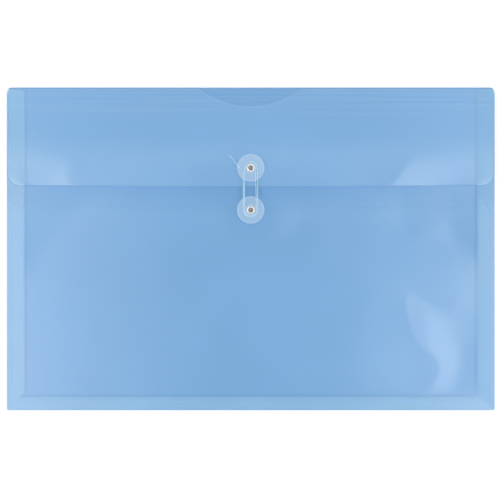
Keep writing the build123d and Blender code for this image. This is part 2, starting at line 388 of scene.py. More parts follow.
def film_finish(name, blue, cover, gloss, edge_colour, edge_cover, edge_width=0.8, let_through=0.75,
                scored=0.0, flap_shadow_band=0.0, under_flap=1.0, at_seal=1.0):
    """Film of one colour and cover. Gloss is how strongly its surface mirrors the room, and scored is how
    much the lines pressed in beside the fold show; there the film is duller too. A share of its haze taken
    away just below the flap is a painted shadow of the flap; under the flap the film is painted paler,
    painted light that leaves the notch darker as if shaded. Under_flap and at_seal are what a pleat's cover
    is multiplied by under the flap and at its sealed edge; a pleat made paler under the flap is painted light
    against the flap's shade. The edge colour is a painted highlight at the cut edges of the panels and the
    flap, and at a pleat's fold a dark line that is partly deeper film and partly painted shade in the crease.
    What the film scatters goes on through it, so it throws little shadow except at a cut edge."""
    made, tree, shader, coordinates = new_material(name)
    texture = placed(tree, film_texture(), Vector=coordinates)
    up = fill(tree, add(tree, "SeparateXYZ"), Vector=coordinates).outputs["Y"]
    distance = edge_distance(tree)
    edge = placed(tree, cut_edge(), Distance=distance, Width=edge_width)["Mask"]
    tinted = mixed(tree, texture["Cloud"], shade(blue, 0.985), shade(blue, 1.015))
    rough = ranged(tree, texture["Cloud"], whole, film_rough)
    if scored:
        lines = combined(tree, "MULTIPLY", texture["Lines"], ranged(tree, up, scored_by_fold, (0.0, scored)))
        tinted = mixed(tree, lines, tinted, scored_white)
        rough = combined(tree, "ADD", rough, ranged(tree, up, dull_by_fold, (0.0, fold_dulling)))
    covered = cover
    # Painted shadow of the flap: just below its edge the front film is made clearer, so it shows darker
    if flap_shadow_band:
        # Painted light: under the flap the front film is painted a paler blue, so the notch shows darker as
        # if shaded
        painted_pale_mask = ranged(tree, up, painted_pale_span)
        tinted = mixed(tree, painted_pale_mask, tinted, painted_pale_blue)
        covered = ranged(tree, up, flap_shadow_span, (cover, cover * (1.0 - flap_shadow_band)))
        covered = mixed(tree, painted_pale_mask, covered, painted_pale_cover, "FLOAT")
    # A pleat painted paler under the flap is painted light against the flap's shade
    for value, span, factor in ((up, pleat_hidden, under_flap), (distance, towards_seal, at_seal)):
        if factor != 1.0:
            covered = combined(tree, "MULTIPLY", covered, ranged(tree, value, span, (1.0, factor)))
    covered = mixed(tree, edge, covered, edge_cover, "FLOAT")
    shadow = add(tree, "LightPath").outputs["Is Shadow Ray"]
    passed = combined(tree, "MULTIPLY", shadow, ranged(tree, edge, whole, (let_through, 0.0)))
    kept = combined(tree, "SUBTRACT", 1.0, passed)
    fill(tree, shader, Base_Color=mixed(tree, edge, tinted, edge_colour), Roughness=rough,
         Alpha=combined(tree, "MULTIPLY", covered, kept), IOR=1.0 + film_mirror * gloss,
         Coat_Weight=1.0 if gloss >= 1.0 else 0.0, Coat_Roughness=coat_rough, Coat_IOR=coat_mirror)
    bumped(tree, shader, texture["Height"], film_relief)
    return made


def plain_film(name, blue, cover, gloss):
    """Film that looks the same at its edge as elsewhere, made once and used again."""
    return bpy.data.materials.get(name) or film_finish(name, blue, cover, gloss, blue, cover)


def film_sides(settings, piece):
    """Materials of a sheet's glossy side, its inner side and its cut rim."""
    # Painted highlight along the cut edges of the flap and the inner side, and on the cut rim
    light = tuple(settings.edge_highlight)
    blue = tuple(settings.film_blue)
    if piece == "flap":
        outer = film_finish("film_flap_side", blue, settings.flap_cover, gloss=1.05, edge_colour=light,
                            edge_cover=0.51, scored=0.09)
    else:
        # The front's cut top edge and notch carry a painted highlight, a pale band 1.8 mm wide
        outer = film_finish("film_front_side", blue, settings.outer_cover, gloss=1.0, edge_colour=notch_highlight_blue,
                            # the last share is the painted shadow of the flap, haze taken away just below its
                            # edge
                            edge_cover=notch_highlight_cover, edge_width=1.8, let_through=0.85, flap_shadow_band=0.3)
    inner = bpy.data.materials.get("film_inner_side") or film_finish(
        "film_inner_side", blue, settings.inner_cover, gloss=0.48, edge_colour=light, edge_cover=0.08)
    return outer, inner, plain_film("film_cut_rim", light, cover=0.6, gloss=0.48)


# Modelling helpers


def start_clean():
    """Nothing is selected, so that an operator touches only the new piece."""
    if bpy.context.mode != "OBJECT":
        bpy.ops.object.mode_set(mode="OBJECT")
    bpy.ops.object.select_all(action="DESELECT")


def named(name):
    """The piece just added, with its name."""
    piece = bpy.context.object
    piece.name = name
    piece.data.name = name
    return piece


def spread(start, end, step):
    """Evenly spaced places from start up to, but not at, end."""
    count = max(1, round((end - start) / step))
    return [start + (end - start) * i / count for i in range(count)]


def stations(stops, steps):
    """Places along a film, from each stop to the next in its own step in millimetres, up to the last stop."""
    places = []
    for start, end, step in zip(stops, stops[1:], steps):
        places += spread(start, end, step * mm)
    return places + [stops[-1]]


def points_of(piece):
    """Places of a piece's points, one in each row."""
    co = np.empty(len(piece.data.vertices) * 3)
    piece.data.vertices.foreach_get("co", co)
    return co.reshape(-1, 3)


def film_grid(name, columns, rows):
    """A flat grid of film, and for each of its points the column and the row that it stands on."""
    start_clean()
    bpy.ops.mesh.primitive_grid_add(x_subdivisions=len(columns) - 1, y_subdivisions=len(rows) - 1, size=2)
    piece = named(name)
    co = points_of(piece)
    across = np.rint((co[:, 0] + 1) / 2 * (len(columns) - 1)).astype(int)
    along = np.rint((co[:, 1] + 1) / 2 * (len(rows) - 1)).astype(int)
    return piece, across, along


def keep_edge(piece, distance):
    """Keeps the distance of each point, or of all, from a cut edge in millimetres."""
    values = np.clip(distance, 0, far_away) / mm + np.zeros(len(piece.data.vertices))
    attribute = piece.data.attributes.new("edge_mm", "FLOAT", "POINT")
    attribute.data.foreach_set("value", values.astype(np.float32))


def set_points(piece, x, y, z, edge):
    """Moves a sheet's points to their places and keeps each one's distance from a cut edge."""
    piece.data.vertices.foreach_set("co", np.column_stack((x, y, z)).astype(np.float32).ravel())
    keep_edge(piece, edge)
    piece.data.update()


def applied(piece, kind, **settings):
    """A modifier added to a piece and applied."""
    bpy.context.view_layer.objects.active = piece
    modifier = piece.modifiers.new(kind.lower(), kind)
    for name, value in settings.items():
        setattr(modifier, name, value)
    bpy.ops.object.modifier_apply(modifier=modifier.name)


def smooth(piece, angle=40):
    """Smooth faces, with edges sharper than an angle left sharp."""
    start_clean()
    piece.select_set(True)
    bpy.context.view_layer.objects.active = piece
    bpy.ops.object.shade_smooth_by_angle(angle=math.radians(angle))


def thicken(piece, materials):
    """Gives a sheet the film's thickness, with its own material on each side and on the rim."""
    for material in materials:
        piece.data.materials.append(material)
    last = len(materials) - 1
    applied(piece, "SOLIDIFY", thickness=film, offset=0.0, material_offset=min(1, last),
            material_offset_rim=min(2, last))
    smooth(piece)


def pierce(piece, y):
    """Cuts a round hole through a sheet for an eyelet."""
    start_clean()
    bpy.ops.mesh.primitive_cylinder_add(
        vertices=48, radius=eyelet_hole, depth=10 * mm, location=(0, y, front_middle))
    cutter = bpy.context.object
    applied(piece, "BOOLEAN", object=cutter, operation="DIFFERENCE", solver="EXACT")
    bpy.data.objects.remove(cutter)


def corner_inset(distance, radius):
    """How far a round corner draws a side in, at a distance from the edge."""
    reach = np.clip(radius - distance, 0, radius)
    return radius - np.sqrt(np.maximum(radius**2 - reach**2, 0))


def ease(value, low, high):
    """A smooth step from 0 at low to 1 at high."""
    t = np.clip((value - low) / (high - low), 0, 1)
    return t * t * (3 - 2 * t)


def section(table, **levels):
    """Radius and height round a closed section, from its table and the heights of its levels."""
    points = [(radius * mm, levels[level] + height * mm) for level, row in table for radius, height in row]
    return points + points[:1]


def lathe(name, profile, y, segments):
    """A turned piece: a ring of edges is drawn out from each point of a closed profile to the next."""
    start_clean()
    first = profile[0]
    bpy.ops.mesh.primitive_circle_add(
        vertices=segments, radius=first[0], fill_type="NOTHING", location=(0, 0, 0))
    piece = named(name)
    bpy.ops.object.mode_set(mode="EDIT")
    bpy.ops.mesh.select_all(action="SELECT")
    bpy.ops.transform.translate(value=(0, y, first[1]))
    last = first
    for point in profile[1:]:
        bpy.ops.mesh.extrude_edges_move(TRANSFORM_OT_translate={"value": (0, 0, point[1] - last[1])})
        ratio = point[0] / last[0]
        bpy.ops.transform.resize(value=(ratio, ratio, 1), center_override=(0, y, point[1]))
        last = point
    bpy.ops.mesh.select_all(action="SELECT")
    bpy.ops.mesh.remove_doubles(threshold=0.005 * mm)
    bpy.ops.mesh.normals_make_consistent(inside=False)
    bpy.ops.object.mode_set(mode="OBJECT")
    return piece


# Buckles of the film


def picture_point(across, down):
    """A place on the envelope from a place in the picture, in metres."""
    scale = bpy.context.scene.envelope_stage.frame_width / picture_size
    return (across - picture_middle[0]) * scale, (picture_middle[1] - down) * scale


def inside_of(x, y, outline, softness):
    """1 inside an outline and 0 outside it, with an edge of a given softness."""
    corners = np.array([picture_point(*p) for p in outline])
    inside = np.zeros(x.shape, bool)
    least = np.full(x.shape, np.inf)
    for a, b in zip(corners, np.roll(corners, -1, axis=0)):
        run = b - a
        crosses = (a[1] > y) != (b[1] > y)
        inside ^= crosses & (x < a[0] + (y - a[1]) * run[0] / (run[1] or 1e-12))
        t = np.clip(((x - a[0]) * run[0] + (y - a[1]) * run[1]) / (run @ run), 0, 1)
        least = np.minimum(least, np.hypot(x - a[0] - t * run[0], y - a[1] - t * run[1]))
    return ease(np.where(inside, least, -least), -softness, softness)


def patched(x, y, patches):
    """How far the patches of a film lean to the right, as a share of the buckles' tilt."""
    return sum(lean * inside_of(x, y, outline, softness) for outline, lean, softness in patches)


def settled(columns, rows, lean, low, high, hold=0.1715, stiff_along=0.15):
    """Heights, on rows and columns, of a film that is held flat at both sides and at two heights and in
    between leans to the right as nearly as it can as lean asks. The lean is carried on as a mirror image past
    each held edge, so that the heights can be found wave by wave."""
    across = np.linspace(-hold, hold, 345)
    up = np.linspace(low, high, round((high - low) / mm) + 1)
    slope = -lean(*np.meshgrid(across, up))
    slope[0] = slope[-1] = 0
    slope = np.concatenate((slope, slope[:, -2:0:-1]), axis=1)
    slope = np.concatenate((slope, -slope[-2:0:-1]), axis=0)
    wave_x = 2 * math.pi * np.fft.fftfreq(slope.shape[1], across[1] - across[0])[None, :]
    wave_y = 2 * math.pi * np.fft.fftfreq(slope.shape[0], up[1] - up[0])[:, None]
    stiff = wave_x**2 + stiff_along * wave_y**2
    stiff[0, 0] = 1
    heights = np.fft.ifft2(-1j * wave_x * np.fft.fft2(slope) / stiff).real[:len(up), :len(across)]
    heights = np.array([np.interp(columns, across, row) for row in heights])
    return np.array([np.interp(rows, up, column) for column in heights.T]).T


class EnvelopePiece:
    """What the operators of the envelope's pieces share"""

    bl_options = {"REGISTER", "UNDO"}


class ENVELOPE_OT_stage(EnvelopePiece, bpy.types.Operator):
    """Set up the camera, the lamps, the floor and the room light"""

    bl_idname = "envelope.stage"
    bl_label = "Stage"
    sensor = 36
    aim = (-0.57 * mm, -0.75 * mm)

    def execute(self, context):
        stage = context.scene.envelope_stage
        scene = context.scene
        scene.view_settings.view_transform = "Standard"
        scene.cycles.transparent_max_bounces = 40
        distance = stage.frame_width * stage.lens / self.sensor
        start_clean()
        bpy.ops.object.camera_add(location=(*self.aim, distance + front_high.z), rotation=(0, 0, 0))
        camera = context.object
        camera.name = "camera"
        camera.data.lens = stage.lens
        camera.data.sensor_width = self.sensor
        camera.data.clip_start = 0.01
        scene.camera = camera
        middle = stage.lamp_inside + stage.lamp_width / 2
        for side, name in ((-1, "left_lamp"), (1, "right_lamp")):
            start_clean()
            place = (side * middle, stage.lamp_shift, stage.lamp_height)
            bpy.ops.object.light_add(type="AREA", location=place)
            lamp = context.object
            lamp.name = name
            lamp.data.shape = "RECTANGLE"
            lamp.data.size = stage.lamp_width
            lamp.data.size_y = stage.lamp_length
            lamp.data.energy = stage.lamp_light * math.pi * stage.lamp_width * stage.lamp_length
        self.room(scene, stage)
        self.floor(stage)
        return {"FINISHED"}

    def room(self, scene, stage):
        """Even light from a room that is white at eye level and dimmer overhead."""
        world = bpy.data.worlds.new("room")
        scene.world = world
        world.use_nodes = True
        tree = world.node_tree
        direction = add(tree, "TexCoord").outputs["Generated"]
        up = fill(tree, add(tree, "SeparateXYZ"), Vector=direction).outputs["Z"]
        eye_level = (0.2, 0.5)
        fill(tree, tree.nodes["Background"], Color=(1, 1, 1),
             Strength=ranged(tree, up, eye_level, (1.0, stage.room_light)))

    def floor(self, stage):
        """A plain pale floor that the camera sees as white and that keeps the shadow."""
        start_clean()
        bpy.ops.mesh.primitive_plane_add(size=12, location=(0, 0, -0.3 * mm))
        floor = named("floor")
        made, tree, shader, coordinates = new_material("floor_white")
        speckle = noise(tree, coordinates, scale=30.0, detail=2.0)
        white = tuple(stage.floor_white)
        path = add(tree, "LightPath").outputs
        seen = combined(tree, "MAXIMUM", path["Is Camera Ray"], path["Is Glossy Ray"])
        seen = combined(tree, "MAXIMUM", seen, path["Is Transmission Ray"])
        away = add(tree, "VectorMath", operation="LENGTH")
        tree.links.new(coordinates, away.inputs[0])
        near_and_far, glow_there = (0.5, 2.2), (0.33, 0.65)
        glow = ranged(tree, away.outputs["Value"], near_and_far, glow_there)
        fill(tree, shader, Base_Color=mixed(tree, speckle, shade(white, 0.995), white), Roughness=0.9,
             Specular_IOR_Level=0.1, Emission_Color=(1, 1, 1),
             Emission_Strength=combined(tree, "MULTIPLY", seen, glow))
        floor.data.materials.append(made)


class ENVELOPE_OT_string(EnvelopePiece, bpy.types.Operator):
    """Wind the tie string round both buttons and lay its tail on the flap"""

    bl_idname = "envelope.string"
    bl_label = "Tie string"
    flap_place = (0, flap_hub_y, 8.95 * mm)
    front_place = (0, front_hub_y, 7.50 * mm)
    tail_lean = math.radians(38.4)

    def route(self):
        """Route of the string: its tied end, its half turns round the two hubs, and its tail."""
        start = Vector(self.front_place)
        along = Vector(self.flap_place) - start
        top = along.length
        along.normalize()
        end, right_inner, right_inner_low, left_inner = -3.4 * mm, 3.5 * mm, 4.28 * mm, -4.75 * mm
        right_outer, left_outer = 5.15 * mm, -5.65 * mm
        flat = [(end, top - 1.0 * mm)]
        turns = ((end, right_inner, top, 1), (right_inner_low, left_inner, 0, -1),
                 (left_inner, right_outer, top, 1), (right_outer, left_outer, 0, -1))
        for first, last, level, up in turns:
            middle, reach = (first + last) / 2, (first - last) / 2
            for step in range(9):
                angle = math.pi * step / 8
                flat.append((middle + reach * math.cos(angle), level + up * abs(reach) * math.sin(angle)))
        points = [start + Vector((across, 0, 0)) + along * up for across, up in flat]
        bend = start + Vector((left_outer, 0, 0)) + along * (top - 3.4 * mm)
        heading = Vector((-math.sin(self.tail_lean), math.cos(self.tail_lean), 0))
        points += [bend - along * 4.8 * mm, bend]
        for reach, drop in ((4.8 * mm, 0.30 * mm), (15.9 * mm, 0.55 * mm)):
            points.append(bend + heading * reach + Vector((0, 0, -drop)))
        return points

    def centreline(self, points):
        """Points along the smooth line of the string."""
        curve = bpy.data.curves.new("string_line", "CURVE")
        curve.dimensions = "3D"
        curve.resolution_u = 24
        spline = curve.splines.new("NURBS")
        spline.points.add(len(points) - 1)
        for place, point in zip(spline.points, points):
            place.co = (*point, 1.0)
        spline.order_u = 3
        spline.use_endpoint_u = True
        line = bpy.data.objects.new("string_line", curve)
        bpy.context.scene.collection.objects.link(line)
        drawn = bpy.data.meshes.new_from_object(line)
        path = [v.co.copy() for v in drawn.vertices]
        bpy.data.objects.remove(line)
        bpy.data.meshes.remove(drawn)
        return path

    def even(self, path, step):
        """The same line with points an even step apart."""
        path = np.array(path)
        run = np.concatenate(([0], np.cumsum(np.linalg.norm(np.diff(path, axis=0), axis=1))))
        at = np.linspace(0, run[-1], max(2, round(run[-1] / step)) + 1)
        return np.column_stack([np.interp(at, run, path[:, k]) for k in range(3)]), at

    def twisted(self, path, settings):
        """A tube of twisted strands along the line, with a UV map that runs along and round it."""
        points, at = self.even(path, step=0.16 * mm)
        sides, groove = 20, 0.20
        tangent = np.gradient(points, axis=0)
        tangent /= np.linalg.norm(tangent, axis=1)[:, None]
        normal = np.zeros_like(points)
        carried = np.array((0.0, 0.0, 1.0))
        for i, t in enumerate(tangent):
            carried = carried - t * (carried @ t)
            carried = carried / np.linalg.norm(carried)
            normal[i] = carried
        other = np.cross(tangent, normal)
        angle = np.arange(sides) * 2 * math.pi / sides
        turn = at / settings.twist * 2 * math.pi
        lobes = np.abs(np.cos((angle[None, :] - turn[:, None]) * settings.strands / 2))
        radius = settings.diameter / 2 * (1 - groove + groove * lobes**0.8)
        sideways = np.cos(angle)[None, :, None] * normal[:, None, :]
        sideways = sideways + np.sin(angle)[None, :, None] * other[:, None, :]
        rings = points[:, None, :] + radius[..., None] * sideways
        count = len(points)
        faces = []
        for i in range(count - 1):
            for k in range(sides):
                n = (k + 1) % sides
                faces.append((i * sides + k, i * sides + n, (i + 1) * sides + n, (i + 1) * sides + k))
        faces.append(tuple(reversed(range(sides))))
        faces.append(tuple((count - 1) * sides + k for k in range(sides)))
        mesh = bpy.data.meshes.new("tie_string")
        mesh.from_pydata(rings.reshape(-1, 3).tolist(), [], faces)
        layer = mesh.uv_layers.new(name="along_string")
        for polygon in mesh.polygons:
            for loop in polygon.loop_indices:
                ring, side = divmod(mesh.loops[loop].vertex_index, sides)
                wrap = 1.0 if side == 0 and polygon.index % sides == sides - 1 else side / sides
                layer.data[loop].uv = (at[ring] / (10 * mm), wrap)
        mesh.update()
        piece = bpy.data.objects.new("tie_string", mesh)
        bpy.context.scene.collection.objects.link(piece)
        return piece, points

    def finish(self, settings):
        """Pale cord: strands of fine fibres with darker grooves between them."""
        made, tree, shader, coordinates = new_material("pale_cord")
        uv = add(tree, "UVMap", uv_map="along_string").outputs["UV"]
        fibres = noise(tree, uv, scale=1.0, detail=3.0, stretch=(18.0, 40.0, 1.0))
        blue = tuple(settings.pale_blue)
        fill(tree, shader,
             Base_Color=mixed(tree, ranged(tree, fibres, noise_wide), shade(blue, 0.92), shade(blue, 1.08)),
             Roughness=ranged(tree, fibres, noise_wide, (0.55, 0.75)), Sheen_Weight=0.25, Sheen_Roughness=0.5)
        bumped(tree, shader, fibres, 0.04 * mm)
        return made

    def bead_finish(self, settings):
        """Melted end of the string: smoother and a little glassy."""
        made, tree, shader, coordinates = new_material("melted_cord")
        grain = noise(tree, coordinates, scale=2500.0, detail=2.0)
        blue = tuple(settings.pale_blue)
        fill(tree, shader, Base_Color=mixed(tree, grain, shade(blue, 0.95), shade(blue, 1.15)),
             Roughness=ranged(tree, grain, noise_wide, (0.28, 0.42)))
        bumped(tree, shader, grain, 0.03 * mm)
        return made

    def bead(self, path, material):
        """The melted bead that keeps the tail's end from fraying."""
        start_clean()
        end, before = Vector(path[-1]), Vector(path[-6])
        bpy.ops.mesh.primitive_uv_sphere_add(segments=24, ring_count=14, radius=0.58 * mm, location=end)
        piece = named("string_bead")
        heading = (end - before).normalized()
        drawn_back, drawn_on = 0.35, 0.1
        lump, lumps_across, lumps_up = 0.05, 9000, 7000
        for vertex in piece.data.vertices:
            along = vertex.co.dot(heading)
            vertex.co += heading * along * (drawn_back if along < 0 else drawn_on)
            vertex.co *= 1 + lump * math.sin(vertex.co.x * lumps_across + vertex.co.z * lumps_up)
        bpy.ops.object.transform_apply(location=True, rotation=True, scale=True)
        piece.data.materials.append(material)
        smooth(piece, 60)
        return piece

    def execute(self, context):
        settings = context.scene.envelope_string
        path = self.centreline(self.route())
        piece, points = self.twisted(path, settings)
        piece.data.materials.append(self.finish(settings))
        smooth(piece, 70)
        bead = self.bead(points, self.bead_finish(settings))
        for part in (piece, bead):
            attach(part, "flap")
            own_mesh(part)
        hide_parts("string_winding", "string_tail")
        return {"FINISHED"}


class ENVELOPE_OT_panels(EnvelopePiece, bpy.types.Operator):
    """Lay the back panel's film and shape the front panel with its notch and buckles"""

    bl_idname = "envelope.panels"
    bl_label = "Panels"
    notch_deep, notch_half = 13.2 * mm, 39.5 * mm
    drawn_from = panel_top - 26 * mm
    held = bottom_edge + 11 * mm, 0.047
    swirl_top, swirl_side = (-0.040, -0.028), (0.135, 0.166)
    round_button = 0.014, 0.04

    def execute(self, context):
        settings = context.scene.envelope_film
        back = frame["nodes"]["back_panel"]
        back.material_slots[0].material = plain_film(
            "film_back", tuple(settings.back_blue), settings.back_cover, gloss=0.4)
        keep_edge(back, far_away)
        self.front(settings)
        return {"FINISHED"}

    def front(self, settings):
        """The front panel: notched, flat where it is welded, buckled in between."""
        edge, notch = half_width, self.notch_half
        columns = stations((-edge, -0.170, -0.120, -notch, notch, 0.095, 0.172, edge),
                           (1.6, 2.0, 5, 2.6, 5, 1.1, 1.6))
        rows = [bottom_edge + d * mm for d in (0, 0.1, 0.3, 0.8)]
        rows += stations((bottom_edge + 2 * mm, -0.108, 0.048, panel_top - top_corner), (1.6, 1.5, 3))[:-1]
        rows += [panel_top - d * mm for d in last_rows]
        piece, across, along = film_grid("front_film", columns, rows)
        columns, rows = np.array(columns), np.array(rows)
        x, y = columns[across], rows[along]
        inset = corner_inset(panel_top - y, top_corner) + corner_inset(y - bottom_edge, foot_corner)
        radius = (notch**2 + self.notch_deep**2) / (2 * self.notch_deep)
        arc = panel_top - self.notch_deep + radius - np.sqrt(np.maximum(radius**2 - x**2, 0))
        top = np.where(np.abs(x) < notch, np.minimum(arc, panel_top), panel_top)
        low = self.drawn_from
        drawn = np.where(y > low, low + (y - low) * (top - low) / (panel_top - low), y)
        heights = self.heights(columns, rows, settings)
        z = front_middle + heights[along, across]
        set_points(piece, x * (edge - inset) / edge, drawn, z, top - drawn)
        thicken(piece, film_sides(settings, "front"))
        pierce(piece, front_hub_y)
        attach(piece, "front")
        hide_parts("front_panel")

    def heights(self, columns, rows, settings):
        """Buckles: a sharp-edged swirl and softer patches that lean to the right, and slack ones."""

        def lean(x, y):
            weaker_above = 0.35 * ease(y, *self.swirl_top)
            weaker_by_seal = 0.65 * ease(x, *self.swirl_side)
            swirl = inside_of(x, y, lower_buckle, 0.9 * mm) * (0.5 - weaker_above)
            swirl += 0.45 * inside_of(x, y, lower_core, 8 * mm)
            return settings.buckle_tilt * (swirl * (1 - weaker_by_seal) + patched(x, y, front_patches))

        heights = settled(columns, rows, lean, *self.held)
        from_button = np.hypot(columns[None, :], rows[:, None] - front_hub_y)
        return heights * ease(from_button, *self.round_button)


class ENVELOPE_OT_flap(EnvelopePiece, bpy.types.Operator):
    """Shape the flap and the fold that joins it to the back panel"""

    bl_idname = "envelope.flap"
    bl_label = "Flap and fold"
    bow, taper = 0.9 * mm, 1.5 * mm
    bulge, fold_corner = 0.3 * mm, 2.8 * mm
    held, calmer = 0.112, (0.050, 0.080)
    round_button, sag = (0.016, 0.05), -0.3 * mm
    corner_across, corner_up = (0.125, 0.181), (0.048, 0.082)

    def execute(self, context):
        settings = context.scene.envelope_film
        self.flap(settings)
        self.fold(settings)
        return {"FINISHED"}

    def flap(self, settings):
        """The flap: tapered, bowed along its lower edge and lifted at its corners."""
        edge = half_width
        columns = stations((-edge, -0.178, -0.10, 0.10, 0.178, edge), (0.9, 2, 5, 1.4, 0.9))
        top = flap_high.y
        low_middle, low_end = flap_low.y, flap_low.y + self.bow
        depth = top - low_middle
        rows = [d * mm for d in (0, 0.1, 0.3, 0.6, 1.0, 1.6, 2.4, 3.4, 4.5, 5.7, 7.0)]
        rows += spread(flap_corner, depth - top_corner, 1.6 * mm) + [depth - d * mm for d in last_rows]
        piece, across, along = film_grid("flap_film", columns, rows)
        columns, rows = np.array(columns), np.array(rows)
        u, d = columns[across], rows[along]
        low = low_middle + (low_end - low_middle) * (u / edge) ** 2
        y = low + d * (top - low) / depth
        half = edge - self.taper * (top - y) / (top - low_end)
        inset = corner_inset(d, flap_corner) + corner_inset(top - y, top_corner)
        x = u * (half - inset) / edge
        heights = self.heights(columns, rows + low_middle, settings)
        z = flap_middle + heights[along, across]
        side = (half - inset) - np.abs(x)
        set_points(piece, x, y, z, np.minimum(d, side))
        thicken(piece, film_sides(settings, "flap"))
        pierce(piece, flap_hub_y)
        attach(piece, "flap")
        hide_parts("flap_panel")

    def heights(self, columns, rows, settings):
        """Lifted lower corners, and a patch on each side that leans to its lamp."""
        low = rows[0]

        def lean(x, y):
            y = low + np.abs(y - low)
            return settings.buckle_tilt * patched(x, y, flap_patches) * (1 - ease(y, *self.calmer))

        heights = settled(columns, rows, lean, 2 * low - self.held, self.held)
        x, y = columns[None, :], rows[:, None]
        heights = heights * ease(np.hypot(x, y - flap_hub_y), *self.round_button)
        corner = ease(np.abs(x), *self.corner_across) * (1 - ease(y, *self.corner_up))
        return np.maximum(heights, self.sag) + corner**2 * settings.flap_lift

    def fold(self, settings):
        """The fold: a film that stands up along the top edge and bulges a little."""
        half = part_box("fold_strip_upper")[1].x + 2.2 * mm
        low_y, low_z = joint_places["flap_hinge"][1:]
        high_y, high_z = joint_places["flap_crease"][1:]
        ends = [half - d * mm for d in (2.2, 1.6, 1.1, 0.6, 0.2, 0.0)]
        columns = [-e for e in reversed(ends)] + spread(-ends[0], ends[0], 8 * mm)[1:] + ends
        rows = [i / 24 for i in range(25)]
        piece, across, along = film_grid("fold_film", columns, rows)
        x, t = np.array(columns)[across], np.array(rows)[along]
        y = low_y + (high_y - low_y) * t + self.bulge * (np.sin(math.pi * t) ** 0.8 - (1 - t) ** 8)
        y = y - corner_inset(self.fold_corner - np.maximum(np.abs(x) - ends[0], 0), self.fold_corner)
        z = low_z + (high_z - low_z) * t
        set_points(piece, x, y, z, far_away)
        thicken(piece, [plain_film("film_fold", tuple(settings.fold_blue), cover=0.8, gloss=0.32)])
        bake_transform(piece)
        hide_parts("fold_strip_lower", "fold_strip_upper")


